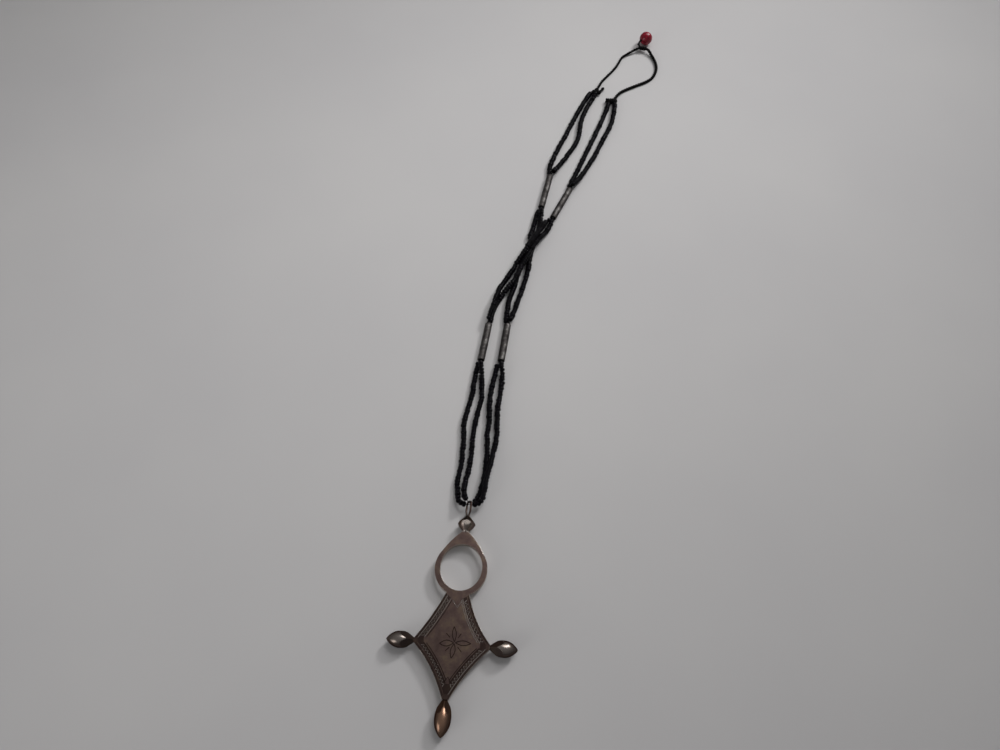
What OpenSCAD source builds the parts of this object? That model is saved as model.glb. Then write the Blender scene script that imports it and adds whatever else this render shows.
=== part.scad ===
// Tuareg cross pendant on four strands of small black beads, closed with a red bead.
// The whole necklace lies flat on a table. Millimetres, +Y from the pendant to the closing bead, +Z up.
// The origin is on the table, under the middle of the necklace.

/* [What to show] */
// Name of one piece, or all of them

/* [Cross: plate] */
// Middle of the plate to a side corner
plate_reach = 13.2; // [12:0.1:15]
// Middle of the plate down to its foot
plate_drop = 18; // [16:0.1:21]
// Middle of the plate up to the neck under the ring
plate_rise = 17.2; // [16:0.1:19]
// Thickness of the plate and of the ring
plate_thick = 1.9; // [1.4:0.1:2.6]
// Depth of the engraved lines
groove_depth = 0.2; // [0.1:0.05:0.4]
// Width of the engraved lines
groove_width = 0.3; // [0.2:0.05:0.5]

/* [Cross: ring] */
// Half of the ring's width
ring_half_width = 9.6; // [9:0.1:11]
// Half of the ring's height, without its point
ring_half_height = 9.9; // [9:0.1:11]
// Half of the opening's width
opening_half_width = 7.65; // [6.5:0.05:8]
// Half of the opening's height
opening_half_height = 8.5; // [7.5:0.1:8.8]

/* [Cross: knob, drops and bail] */
// Thickness of the knob and of the drops, which the cross rests on
drop_across = 5.7; // [5:0.1:6.5]
// Length of a side drop
side_drop_long = 9.8; // [8:0.1:12]
// Length of the bottom drop
bottom_drop_long = 11.7; // [9:0.1:14]
// Height of the knob along the cross
knob_tall = 6.8; // [6:0.1:8]
// Thickness of the wire that the bail is bent from
bail_wire = 0.5; // [0.4:0.05:0.7]
// Middle to middle of the bail's two legs
bail_wide = 2.26; // [2.1:0.02:2.6]

/* [Strands] */
// Thickness of a strand of beads
bead_across = 2.2; // [1.8:0.05:2.3]
// Thickness of the bare thread
thread_across = 0.4; // [0.3:0.05:0.5]
// Outside of a silver tube
tube_outside = 3; // [2.8:0.1:3.6]
// Bore of a silver tube
tube_bore = 2.3; // [1.9:0.1:2.5]

/* [Closure] */
// Thickness of the cord on the left
left_cord_across = 1.2; // [0.8:0.1:1.6]
// Thickness of the cord on the right
right_cord_across = 1.4; // [0.8:0.1:1.6]
// Red bead
red_bead_across = 6.7; // [5:0.1:8]
// Hole through the red bead
red_bead_bore = 1.4; // [1.2:0.1:2]

/* [Hidden] */
// Middle of the plate on the table, and the height of the cross's middle plane
cross_spot = [-23.6, -154.2];
cross_height = drop_across / 2;

// Points of the cross along its own long axis, from the middle of the plate
corner_half = 0.8;
foot_half = 1.15;
neck_half = 4.2;
ring_middle = plate_rise - 0.9 + ring_half_height;
opening_middle = ring_middle + 0.5;
point_rise = ring_middle + ring_half_height + 3.9;
point_half = 1.2;
knob_start = point_rise - 0.2;
bail_start = knob_start + knob_tall - 0.7;

// The four edges of the plate, each from its side corner: corner, far end, how far it
// curves in, and 1 or -1 for the side that the plate is on
edges = [
    [[plate_reach, corner_half], [neck_half, plate_rise], 1.1, 1],
    [[-plate_reach, corner_half], [-neck_half, plate_rise], 0.5, -1],
    [[plate_reach, -corner_half], [foot_half, -plate_drop], 0.9, -1],
    [[-plate_reach, -corner_half], [-foot_half, -plate_drop], 1.2, 1],
];
upper_right = 0;
upper_left = 1;
lower_right = 2;
lower_left = 3;

// A drop's outline: how far along it, as a part of its length, and the radius there,
// as a part of the largest
drop_outline = [
    [0, 0.34], [0.05, 0.4], [0.1, 0.54], [0.16, 0.7], [0.23, 0.84], [0.31, 0.93],
    [0.4, 0.985], [0.49, 1], [0.58, 0.985], [0.67, 0.92], [0.75, 0.81], [0.83, 0.65],
    [0.9, 0.45], [0.95, 0.28], [0.98, 0.15], [1, 0],
];

// The knob's outline: how far along it, as a part of its height, and the radius there
knob_outline = [
    [0, 1.1], [0.08, 1.15], [0.2, 1.9], [0.34, 2.75], [0.5, 3.35], [0.64, 2.75],
    [0.8, 1.75], [0.94, 0.85], [1, 0.55],
];

// Silver tubes: x and y of the lower end, x and y of the upper end
tube_lower_left_ends = [-26.3, -38.1, -24.9, -19.6];
tube_lower_right_ends = [-17.7, -37.6, -16.7, -19.1];
tube_upper_left_ends = [-6.7, 50.4, -3.9, 71.2];
tube_upper_right_ends = [-0.7, 44.3, 6.3, 63.3];

// Each strand, from the bail to its knot. A row is one spot of its path: x, y, the lift
// above where it lies on the table, and what follows: beads or bare thread.
beads = 1;
bare = 0;

left_outer_path = [
    [-23.7, -103.2, 1.8, bare], [-24.9, -103.2, 1.7, beads], [-26, -103, 1.5, beads],
    [-27.2, -102.4, 1.3, beads], [-28.2, -101, 1, beads], [-28.9, -97.5, 0.4, beads],
    [-29.4, -94, 0, beads], [-29.1, -89.5, 0, beads], [-28.8, -85, 0, beads],
    [-29, -80, 0, beads], [-29.3, -74, 0, beads], [-29.8, -68, 0, beads],
    [-29, -61, 0, beads], [-28.1, -55, 0, beads], [-28, -48, 0, beads],
    [-27.6, -43, 0, beads], [-27.1, -39.3, 0, bare], [-26.8, -38, 0.3, bare],
    [-25.4, -19.6, 0.5, bare], [-25.1, -18, 2.4, beads], [-24.2, -13.5, 2.5, beads],
    [-23.5, -9, 2.5, beads], [-22.8, -5, 2.2, beads], [-22, 0, 0.7, beads],
    [-19.7, 5.5, 0, beads], [-17, 11, 0.7, beads], [-14.6, 16, 2.6, beads],
    [-12.2, 20.5, 4, beads], [-9.9, 25.5, 4.7, beads], [-8, 30, 4, beads],
    [-6, 35, 2.3, beads], [-4.2, 40, 1.4, beads], [-3.7, 41.2, 1.2, bare],
    [-1.1, 44.4, 0.4, bare], [5.9, 63.6, 0.4, bare], [6.2, 65.2, 0, beads],
    [7.4, 70, 0, beads], [9.9, 77.5, 0, beads], [13, 88, 0, beads],
    [16.5, 99.5, 0, beads], [19.7, 110.5, 0, beads], [22.6, 121, 0, beads],
    [23.5, 125.6, 0.1, beads], [23.7, 127.2, 0.2, bare],
];
left_inner_path = [
    [-23.7, -102.5, 1.9, bare], [-24.1, -102.4, 2.9, bare], [-24.7, -102.1, 4, beads],
    [-25.4, -101.3, 3.8, beads], [-25.9, -99.6, 3.1, beads], [-26.2, -96.5, 1.9, beads],
    [-26.2, -93.5, 0.8, beads], [-25.7, -90, 0.1, beads], [-25.4, -85, 0, beads],
    [-25.4, -80, 0, beads], [-25.5, -73.5, 0, beads], [-25.3, -67.5, 0, beads],
    [-24.6, -61, 0, beads], [-24.1, -55, 0, beads], [-24.8, -48, 0.2, beads],
    [-25.4, -44, 1.3, beads], [-26, -41.2, 2.2, bare], [-26.1, -39.4, 1.3, bare],
    [-25.9, -38, 0.6, bare], [-24.5, -19.6, 0.4, bare], [-24.3, -18.4, 0, beads],
    [-24, -13.5, 0, beads], [-22.7, -8.5, 0, beads], [-20.6, -3.8, 0.2, beads],
    [-18.2, 0.3, 1.8, beads], [-15.7, 4, 2.5, beads], [-14.3, 8.5, 2.5, beads],
    [-12.8, 13.5, 2.5, beads], [-10.6, 19, 2.5, beads], [-8.4, 25.5, 2.5, beads],
    [-5.9, 30.2, 1.9, beads], [-3.6, 35, 0.4, beads], [-1.7, 40, 0, beads],
    [-1.4, 41.2, 0, bare], [-0.3, 44.2, 0.4, bare], [6.7, 63.2, 0.5, bare],
    [7.6, 65.1, 2.1, beads], [9, 67.7, 1.5, beads], [11, 71.7, 0.3, beads],
    [14, 78.5, 0, beads], [18, 88.5, 0, beads], [21.7, 100, 0, beads],
    [25.2, 110.5, 0, beads], [26.8, 120, 0, beads], [27.1, 125.5, 0.1, beads],
    [27, 127.2, 0.2, bare],
];
right_inner_path = [
    [-23.5, -102.6, 1.85, bare], [-23, -102.4, 1.4, bare], [-22.1, -101.5, 0.1, beads],
    [-21.4, -100.6, 0, beads], [-20.8, -99.6, 0.1, beads], [-20.2, -97.3, 0.1, beads], [-19.6, -94, 0, beads],
    [-19.1, -90, 0, beads], [-19, -85, 0, beads], [-19.2, -79.5, 0, beads],
    [-19.9, -73, 0, beads], [-19.8, -66.5, 0, beads], [-20.4, -60, 0, beads],
    [-20.5, -54, 0, beads], [-20, -47.5, 0, beads], [-19.4, -43, 0, beads],
    [-18.9, -39.6, 0, bare], [-18.1, -37.5, 0.3, bare], [-17.1, -19, 0.4, bare],
    [-17.4, -17.8, 0, beads], [-17.6, -13, 0, beads], [-17.2, -6.5, 0, beads],
    [-16, 0, 0, beads], [-14.9, 6, 0, beads], [-14.1, 12, 0, beads],
    [-13, 18, 0, beads], [-12.5, 22.5, 0, bare], [-12.2, 25, -0.5, bare],
    [-11.5, 28.5, -0.5, bare], [-11, 30.5, 0, beads], [-10.1, 35, 0, beads],
    [-9.3, 41, 0, beads], [-8.3, 46.5, 0, beads], [-7.8, 48.6, 0, bare],
    [-7.2, 50.4, 0.3, bare], [-4.4, 71.2, 0.4, bare], [-4.2, 72.8, 0, beads],
    [-4.1, 79, 0, beads], [-1.2, 90, 0, beads], [2.5, 101.5, 0, beads],
    [6, 113, 0, beads], [9.8, 124.5, 0, beads], [12.8, 132, 0, beads],
    [13.6, 133.9, 0.1, beads], [14.2, 135, 0.2, bare],
];
right_outer_path = [
    [-23.5, -103.2, 1.8, bare], [-22.1, -103.2, 1.8, beads], [-21, -103, 2.1, beads],
    [-19.6, -102.1, 2.4, beads], [-18.7, -100.4, 2.5, beads], [-18.4, -97.5, 2.5, beads],
    [-18.1, -94, 2.5, beads], [-17.9, -90.5, 2.4, beads], [-17.1, -85, 1.8, beads],
    [-16.6, -79.5, 0.3, beads], [-16.1, -73, 0, beads], [-16.5, -66.5, 0, beads],
    [-16.9, -60, 0, beads], [-16.5, -54, 0, beads], [-16.4, -48, 0, beads],
    [-16.7, -43.5, 0.8, beads], [-17.4, -40.6, 2, bare], [-17.3, -38.8, 1, bare],
    [-17.2, -37.5, 0.6, bare], [-16.3, -19.1, 0.4, bare], [-15.7, -17.6, 1.9, beads],
    [-14.8, -13, 0.4, beads], [-13.4, -6.5, 0, beads], [-12, 0, 0, beads],
    [-10.8, 7, 0, beads], [-10.1, 13, 0, beads], [-9.8, 19, 0, beads],
    [-9, 25.5, 0, beads], [-7.8, 32, 0, beads], [-6.8, 38, 0, beads],
    [-6.4, 43, 0.6, beads], [-6.5, 46.5, 1.9, bare], [-6.4, 48.6, 1, bare],
    [-6.3, 50.4, 0.5, bare], [-3.5, 71.1, 0.4, bare], [-2.5, 73, 1.8, beads],
    [-1, 76.5, 0.7, beads], [1.2, 81, 0, beads], [5, 89, 0, beads],
    [8.3, 97, 0, beads], [9.4, 104, 0, beads], [9.8, 111, 0, beads],
    [12, 121.5, 0, beads], [15, 129.5, 0, beads], [16.2, 132.3, 0.1, beads],
    [16.7, 134.1, 0.2, bare],
];

// Black knots: the middle of each
left_knot_spot = [16.9, 136.1, 1.5];
right_knot_spot = [25.6, 129, 1.5];
closing_knot_spot = [41.6, 173.9, 1.9];
red_bead_spot = [43.3, 180.5, red_bead_across / 2];
bore_turn = 35;

// Cords from the knots to the closing knot: x, y and the lift above the table
left_cord_path = [
    [17.4, 138.2, 0.7], [18.6, 141.8, 0.3], [20, 145.7, 0], [22.3, 149.6, 0],
    [25, 154, 0], [27.4, 158.5, 0], [29, 162.8, 0], [30.4, 166.4, 0.1],
    [32.6, 168.7, 0.3], [35.3, 170.8, 0.8], [37.2, 172.1, 1.2], [38.6, 173, 1.4],
];
right_cord_path = [
    [27.3, 131.6, 0.8], [28.2, 134.2, 0.4], [29.8, 137, 0.1], [32.2, 139.3, 0],
    [35.4, 141.6, 0], [39.5, 144.4, 0], [43.4, 147, 0], [46.5, 150, 0],
    [48.3, 153.5, 0], [49.2, 157, 0], [49.4, 160.5, 0], [48.9, 164, 0],
    [47.8, 167.2, 0.1], [46.5, 169.9, 0.4], [45.6, 171.6, 0.9], [44.7, 172.7, 1.3],
];
// The thread of the closing knot, up beside the red bead and through it
closing_thread_path = [
    [40.4, 174.2, 2], [39.7, 175.8, 2.3], [39.6, 177.2, 2.8], [40, 178.2, 3.2],
    [40.84, 178.78, 3.35], [45.6, 182.11, 3.35],
];

silver = "#8c8376";
black = "#17161a";
red = "#b3122d";

// Smooth path through the rows of a table, each stretch cut into so many steps
function blend(a, b, c, d, t) =
    ((2 * b) + (c - a) * t + (2 * a - 5 * b + 4 * c - d) * t * t
    + (3 * b - a - 3 * c + d) * t * t * t) / 2;
function smooth(rows, steps) = [
    for (i = [0 : len(rows) - 2]) for (k = [0 : steps - 1])
        blend(rows[max(i - 1, 0)], rows[i], rows[i + 1], rows[min(i + 2, len(rows) - 1)], k / steps),
    rows[len(rows) - 1],
];

// Level direction of a path at one of its spots
function heading(path, i) =
    let (step = path[min(i + 1, len(path) - 1)] - path[max(i - 1, 0)])
    [step.x, step.y] / norm([step.x, step.y]);

// Ring of eight points about a spot of a path, with a flat side down
function eight_ring(spot, dir, radius) = [
    for (k = [0 : 7])
        let (turn = 22.5 + 45 * k, reach = radius / cos(22.5))
        [spot.x - dir.y * reach * cos(turn), spot.y + dir.x * reach * cos(turn),
            spot.z + reach * sin(turn)]
];

// Closed tube through rings of eight points
module tube_of(rings) {
    count = len(rings);
    polyhedron(
        points = [for (ring = rings) each ring],
        faces = [
            [for (k = [0 : 7]) k],
            for (i = [0 : count - 2]) for (k = [0 : 7])
                [8 * i + k, 8 * i + 8 + k, 8 * i + 8 + (k + 1) % 8, 8 * i + (k + 1) % 8],
            [for (k = [7 : -1 : 0]) 8 * (count - 1) + k],
        ],
        convexity = 6);
}

// A strand: thick where beads follow, thin where the thread is bare
function strand_radius(path, i) = (path[i][3] == beads ? bead_across : thread_across) / 2;
function strand_spot(row) = [row.x, row.y, bead_across / 2 + row.z];
module strand(path) {
    last = len(path) - 1;
    tube_of([
        for (i = [0 : last])
            let (spot = strand_spot(path[i]), dir = heading(path, i),
                before = strand_radius(path, max(i - 1, 0)),
                after = strand_radius(path, min(i, last - 1)))
            each (before == after ? [eight_ring(spot, dir, after)]
                : [eight_ring(spot, dir, before), eight_ring(spot, dir, after)])
    ]);
}

// A cord of one thickness, lying on the table where its lift is 0
module cord(path, across) {
    line = smooth(path, 2);
    tube_of([
        for (i = [0 : len(line) - 1])
            eight_ring(line[i] + [0, 0, across / 2], heading(line, i), across / 2)
    ]);
}

// A hollow silver tube that lies on the table
module silver_tube(ends) {
    run = [ends[2] - ends[0], ends[3] - ends[1]];
    translate([ends[0], ends[1], tube_outside / 2])
        rotate([0, 90, atan2(run.y, run.x)])
            difference() {
                cylinder(h = norm(run), d = tube_outside, $fn = 48);
                translate([0, 0, -1]) cylinder(h = norm(run) + 2, d = tube_bore, $fn = 48);
            }
}

// A spot on an edge of the plate: how far along it from the side corner, from 0 to 1,
// and how far in from it
function edge_spot(edge, along, inset) =
    let (run = edge[1] - edge[0], inward = edge[3] * [-run.y, run.x] / norm(run),
        slope = run + inward * 4 * edge[2] * (1 - 2 * along),
        side = edge[3] * [-slope.y, slope.x] / norm(slope))
    edge[0] + run * along + inward * 4 * edge[2] * along * (1 - along) + side * inset;

// Outline of plate and ring in one piece, down its right side and up its left side
ring_turns = [40 : -7.5 : -65];
shoulder_bulge = 0.4;
function shoulder_spot(t) =
    let (top = [point_half, point_rise],
        low = [ring_half_width * cos(40), ring_middle + ring_half_height * sin(40)],
        run = low - top, out = [-run.y, run.x] / norm(run))
    top + run * t + out * 4 * shoulder_bulge * t * (1 - t);
right_side = [
    for (k = [0 : 4]) shoulder_spot(k / 5),
    for (turn = ring_turns) [ring_half_width * cos(turn), ring_middle + ring_half_height * sin(turn)],
    for (k = [10 : -1 : 0]) edge_spot(edges[upper_right], k / 10, 0),
    for (k = [0 : 10]) edge_spot(edges[lower_right], k / 10, 0),
];
left_side = [
    for (k = [10 : -1 : 0]) edge_spot(edges[lower_left], k / 10, 0),
    for (k = [0 : 10]) edge_spot(edges[upper_left], k / 10, 0),
    for (turn = [-65 : 7.5 : 40])
        [-ring_half_width * cos(turn), ring_middle + ring_half_height * sin(turn)],
    for (k = [4 : -1 : 0]) let (spot = shoulder_spot(k / 5)) [-spot.x, spot.y],
];

// Outline of the opening in the ring, from its top and clockwise
opening_outline = [
    for (turn = [90 : -9 : -261])
        [opening_half_width * cos(turn), opening_middle + opening_half_height * sin(turn)]
];

// Plate and ring in one piece
module cross_body() {
    translate([0, 0, -plate_thick / 2]) linear_extrude(plate_thick) difference() {
        polygon(concat(right_side, left_side));
        polygon(opening_outline);
    }
}

// Engraved line of one width through the spots of a path
function strip(path) =
    let (last = len(path) - 1,
        sides = [for (i = [0 : last])
            let (step = path[min(i + 1, last)] - path[max(i - 1, 0)])
            [-step.y, step.x] / norm(step) * groove_width / 2])
    concat([for (i = [0 : last]) path[i] + sides[i]],
        [for (i = [last : -1 : 0]) path[i] - sides[i]]);
module groove(path) {
    translate([0, 0, plate_thick / 2 - groove_depth])
        linear_extrude(groove_depth + 0.2) polygon(strip(path));
}

// Border lines: inset, start and end along an upper edge, start and end along a lower one
border_lines = [
    [0.95, 0.04, 0.97, 0.04, 0.94],
    [2.6, 0.12, 0.95, 0.11, 0.8],
    [3.2, 0.15, 0.93, 0.14, 0.76],
];
// Star: direction of each petal, its length and the half of its width
star_spot = [0.9, 0.3];
star_petals = [[98, 5.1, 0.7], [188, 4.9, 1], [264, 4.9, 0.8], [2, 5.4, 0.8]];
// Star: direction of each short line between the petals, its start and its end
star_strokes = [[58, 1.9, 3.8], [138, 2.4, 4.3], [226, 2.2, 4.1], [314, 1.8, 4]];

module engraving() {
    for (edge = [0 : 3]) {
        upper = edge == upper_right || edge == upper_left;
        for (line = border_lines) {
            from = upper ? line[1] : line[3];
            to = upper ? line[2] : line[4];
            groove([for (k = [0 : 7]) edge_spot(edges[edge], from + (to - from) * k / 7, line[0])]);
        }
        turns = upper ? 22 : 26;
        reach = upper ? 0.8 : 0.72;
        groove([for (k = [0 : turns])
            edge_spot(edges[edge], 0.11 + reach * k / turns, k % 2 == 0 ? 1.3 : 2.25)]);
    }
    groove([[-1.5, 14.6], [0.4, 12.3], [1.9, 15]]);
    groove([[-0.9, -12.6], [0.1, -10.9], [1, -12.6]]);
    for (petal = star_petals) for (side = [-1, 1])
        groove([for (k = [0 : 6])
            let (out = 0.3 + petal[1] * k / 6, off = side * petal[2] * sin(30 * k))
            star_spot + [out * cos(petal[0]) - off * sin(petal[0]),
                out * sin(petal[0]) + off * cos(petal[0])]]);
    for (stroke = star_strokes)
        groove([for (out = [stroke[1], stroke[2]])
            star_spot + out * [cos(stroke[0]), sin(stroke[0])]]);
}

// A drop along +X from its neck, with four flats that run out of the neck
module drop(long) {
    outline = smooth(drop_outline, 2);
    difference() {
        rotate([90, 0, 90]) rotate_extrude($fn = 60)
            polygon(concat([[0, -0.6], [0.8, -0.6]],
                [for (row = outline) [max(row.y, 0) * drop_across / 2, row.x * long]]));
        for (turn = [45 : 90 : 315])
            rotate([turn, 0, 0]) translate([0, -4, 0.55]) rotate([0, -26.5, 0]) cube([9, 8, 3]);
    }
}

// The knob, six flats on a double cone, with a flat down
module knob() {
    intersection() {
        rotate([-90, 0, 0]) rotate_extrude($fn = 60)
            polygon(concat([[0, 0]], [for (row = knob_outline) [row.y, row.x * knob_tall]],
                [[0, knob_tall]]));
        rotate([-90, 0, 0]) linear_extrude(knob_tall)
            circle(d = drop_across / cos(30), $fn = 6);
    }
}

// A straight piece of the bail's wire with a round end
module wire(from, to) {
    run = to - from;
    translate([from.x, from.y, 0]) rotate([-90, 0, -atan2(run.x, run.y)])
        cylinder(h = norm(run), d = bail_wire, $fn = 24);
    translate([to.x, to.y, 0]) sphere(d = bail_wire, $fn = 24);
}
module bail() {
    half = bail_wide / 2;
    rotate([0, -45, 0]) {
        for (side = [-1, 1]) {
            wire([side * 0.35, 0], [side * half, 2.5]);
            wire([side * half, 2.5], [side * half, 5.2]);
        }
        translate([0, 5.2, 0]) rotate_extrude(angle = 180, $fn = 48)
            translate([half, 0]) circle(d = bail_wire, $fn = 24);
    }
}

module cross() {
    color(silver) translate([cross_spot.x, cross_spot.y, cross_height]) {
        difference() {
            cross_body();
            engraving();
        }
        translate([plate_reach, 0, 0]) drop(side_drop_long);
        translate([-plate_reach, 0, 0]) rotate([0, 0, 182.5]) drop(side_drop_long);
        translate([0, -plate_drop, 0]) rotate([0, 0, -90]) drop(bottom_drop_long);
        translate([0, knob_start, 0]) knob();
        translate([0, bail_start, 0]) bail();
    }
}

module tube_lower_left() { color(silver) silver_tube(tube_lower_left_ends); }
module tube_lower_right() { color(silver) silver_tube(tube_lower_right_ends); }
module tube_upper_left() { color(silver) silver_tube(tube_upper_left_ends); }
module tube_upper_right() { color(silver) silver_tube(tube_upper_right_ends); }

module strand_left_outer() { color(black) strand(left_outer_path); }
module strand_left_inner() { color(black) strand(left_inner_path); }
module strand_right_inner() { color(black) strand(right_inner_path); }
module strand_right_outer() { color(black) strand(right_outer_path); }

// Straight piece of a knot's cord between two spots
module knot_end(from, to, across) {
    dir = [to.x - from.x, to.y - from.y] / norm([to.x - from.x, to.y - from.y]);
    tube_of([eight_ring(from, dir, across / 2), eight_ring(to, dir, across / 2)]);
}
// Stub of a knot that meets the end of a cord face to face
module stub(path, i, across) {
    line = smooth(path, 2);
    spot = line[i] + [0, 0, across / 2];
    dir = (i == 0 ? 1 : -1) * heading(line, i);
    tube_of([eight_ring(spot - [dir.x, dir.y, 0] * 1.6, dir, across / 2),
        eight_ring(spot, dir, across / 2)]);
}
// Rounded lump of a knot, its axis level and turned by so many degrees
module lump(at, turn, radius) {
    dir = [cos(turn), sin(turn)];
    tube_of([
        for (bend = [-68, -42, -15, 15, 42, 68])
            eight_ring(at + radius * sin(bend) * [dir.x, dir.y, 0], dir, radius * cos(bend))
    ]);
}
module knot_left() {
    at = left_knot_spot;
    color(black) {
        stub(left_cord_path, 0, left_cord_across);
        lump(at, 70, 1.3);
        lump(at + [1.7, -0.8, -0.3], 15, 0.9);
        knot_end(at + [1, -0.2, 0], at + [3.9, 3.3, -0.6], 0.8);
    }
}
module knot_right() {
    at = right_knot_spot;
    color(black) {
        stub(right_cord_path, 0, right_cord_across);
        knot_end(at + [-1.9, 0.25, 0], at + [1.3, 0, 0], 2.3);
        lump(at + [-2.1, 0.3, 0], 8, 1.3);
        lump(at + [1.4, 0.2, 0], 12, 1.42);
    }
}
module closing_knot() {
    at = closing_knot_spot;
    color(black) {
        stub(left_cord_path, 2 * len(left_cord_path) - 2, left_cord_across);
        stub(right_cord_path, 2 * len(right_cord_path) - 2, right_cord_across);
        knot_end(at + [-1.5, 0.1, 0], at + [1.5, -0.1, 0], 2.1);
        lump(at + [-1.6, 0.2, 0], 10, 1.3);
        lump(at + [1.6, -0.2, 0], 20, 1.26);
        tube_of([for (i = [0 : len(closing_thread_path) - 1])
            eight_ring(closing_thread_path[i], heading(closing_thread_path, i), 0.45)]);
        lump([45.7, 182.2, 3.34], bore_turn + 3, 0.6);
    }
}
module cord_left() { color(black) cord(left_cord_path, left_cord_across); }
module cord_right() { color(black) cord(right_cord_path, right_cord_across); }
module red_bead() {
    color(red) translate(red_bead_spot) rotate([0, 90, bore_turn]) difference() {
        sphere(d = red_bead_across, $fn = 48);
        cylinder(h = red_bead_across + 2, d = red_bead_bore, center = true, $fn = 32);
    }
}

cross();
tube_lower_left();
tube_lower_right();
tube_upper_left();
tube_upper_right();
strand_left_outer();
strand_left_inner();
strand_right_inner();
strand_right_outer();
knot_left();
knot_right();
cord_left();
cord_right();
closing_knot();
red_bead();
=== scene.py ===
import math
import random

import bpy
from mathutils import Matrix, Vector


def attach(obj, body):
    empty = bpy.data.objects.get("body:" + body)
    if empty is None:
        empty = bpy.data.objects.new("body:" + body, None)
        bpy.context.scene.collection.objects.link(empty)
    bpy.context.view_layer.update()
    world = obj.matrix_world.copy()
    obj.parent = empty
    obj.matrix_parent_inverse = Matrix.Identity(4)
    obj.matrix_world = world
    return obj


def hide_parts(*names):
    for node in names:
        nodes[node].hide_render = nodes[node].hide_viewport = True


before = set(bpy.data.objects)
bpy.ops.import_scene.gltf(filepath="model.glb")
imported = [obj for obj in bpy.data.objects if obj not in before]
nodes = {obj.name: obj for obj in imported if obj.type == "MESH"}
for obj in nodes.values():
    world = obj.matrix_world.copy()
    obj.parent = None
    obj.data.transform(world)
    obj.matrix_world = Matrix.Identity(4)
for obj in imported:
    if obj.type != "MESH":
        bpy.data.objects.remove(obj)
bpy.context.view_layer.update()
luck = random.Random(11)
MM = 0.001  # every size below is in millimetres, and this turns it to metres

# Camera: from the front and above, as the photograph was taken

view = bpy.data.cameras.new("camera")
view.lens, view.sensor_width = 27, 36
view.clip_start, view.clip_end = 0.01, 10
camera = bpy.data.objects.new("camera", view)
camera.location = (-0.0022, -0.2017, 0.275)
camera.rotation_euler = (math.radians(30), 0, math.radians(5.56))
bpy.context.scene.collection.objects.link(camera)
bpy.context.scene.camera = camera


# Bench tools

def put_down():
    """Leaves edit mode with nothing selected."""
    if bpy.context.object and bpy.context.object.mode != "OBJECT":
        bpy.ops.object.mode_set(mode="OBJECT")
    bpy.ops.object.select_all(action="DESELECT")


def pick_up(*pieces):
    put_down()
    for piece in pieces:
        piece.select_set(True)
    bpy.context.view_layer.objects.active = pieces[0]


def label(piece, name):
    piece.name = piece.data.name = name
    return piece


def seat(piece):
    """Puts place, turn and size into the mesh, as a CAD node has them."""
    pick_up(piece)
    bpy.ops.object.transform_apply(location=True, rotation=True, scale=True)
    return piece


def weld(piece, gap=0.000001):
    """Merges doubled points, then turns every face outwards."""
    pick_up(piece)
    bpy.ops.object.mode_set(mode="EDIT")
    bpy.ops.mesh.select_all(action="SELECT")
    bpy.ops.mesh.remove_doubles(threshold=gap)
    bpy.ops.mesh.normals_make_consistent(inside=False)
    bpy.ops.object.mode_set(mode="OBJECT")


def finish_with(piece, kind, **settings):
    """Adds a modifier and applies it."""
    pick_up(piece)
    modifier = piece.modifiers.new(kind, kind)
    for key, value in settings.items():
        setattr(modifier, key, value)
    bpy.ops.object.modifier_apply(modifier=modifier.name)


def twin(piece):
    """A copy with its own mesh."""
    other = piece.copy()
    other.data = piece.data.copy()
    bpy.context.scene.collection.objects.link(other)
    return other


def solder(name, pieces):
    """Several pieces made one, under a new name."""
    pick_up(*pieces)
    bpy.ops.object.join()
    return label(bpy.context.object, name)


def select_faces(piece, wanted):
    """In edit mode on the faces alone for which wanted(face) is true."""
    pick_up(piece)
    bpy.ops.object.mode_set(mode="EDIT")
    bpy.ops.mesh.select_mode(type="FACE")
    bpy.ops.mesh.select_all(action="DESELECT")
    bpy.ops.object.mode_set(mode="OBJECT")
    for face in piece.data.polygons:
        face.select = bool(wanted(face))
    bpy.ops.object.mode_set(mode="EDIT")


def select_edges(piece, wanted):
    """In edit mode on the edges alone for which wanted(edge) is true."""
    pick_up(piece)
    bpy.ops.object.mode_set(mode="EDIT")
    bpy.ops.mesh.select_mode(type="EDGE")
    bpy.ops.mesh.select_all(action="DESELECT")
    bpy.ops.object.mode_set(mode="OBJECT")
    for edge in piece.data.edges:
        edge.select = bool(wanted(edge))
    bpy.ops.object.mode_set(mode="EDIT")


# Lines that threads and cords follow

def laid_line(rows, steps, above):
    """The smooth line that part.scad lays through its rows, in metres."""
    spots = [Vector((x, y, lift + above)) * MM for x, y, lift, *_ in rows]
    last = len(spots) - 1
    line = []
    for i in range(last):
        a, b = spots[max(i - 1, 0)], spots[i]
        c, d = spots[i + 1], spots[min(i + 2, last)]
        for k in range(steps):
            t = k / steps
            line.append((b * 2 + (c - a) * t + (a * 2 - b * 5 + c * 4 - d) * t * t
                         + (b * 3 - a - c * 3 + d) * t ** 3) / 2)
    return line + [spots[last]]


def run_of(line):
    """A line's length."""
    return sum((b - a).length for a, b in zip(line, line[1:]))


def stations(line, count):
    """(spot, direction) in the middle of each of count equal lengths of a line."""
    each, due, gone, out = run_of(line) / count, 0.5, 0.0, []
    for a, b in zip(line, line[1:]):
        long = (b - a).length
        while long and due * each <= gone + long and len(out) < count:
            out.append((a.lerp(b, (due * each - gone) / long), (b - a).normalized()))
            due += 1
        gone += long
    return out


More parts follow.
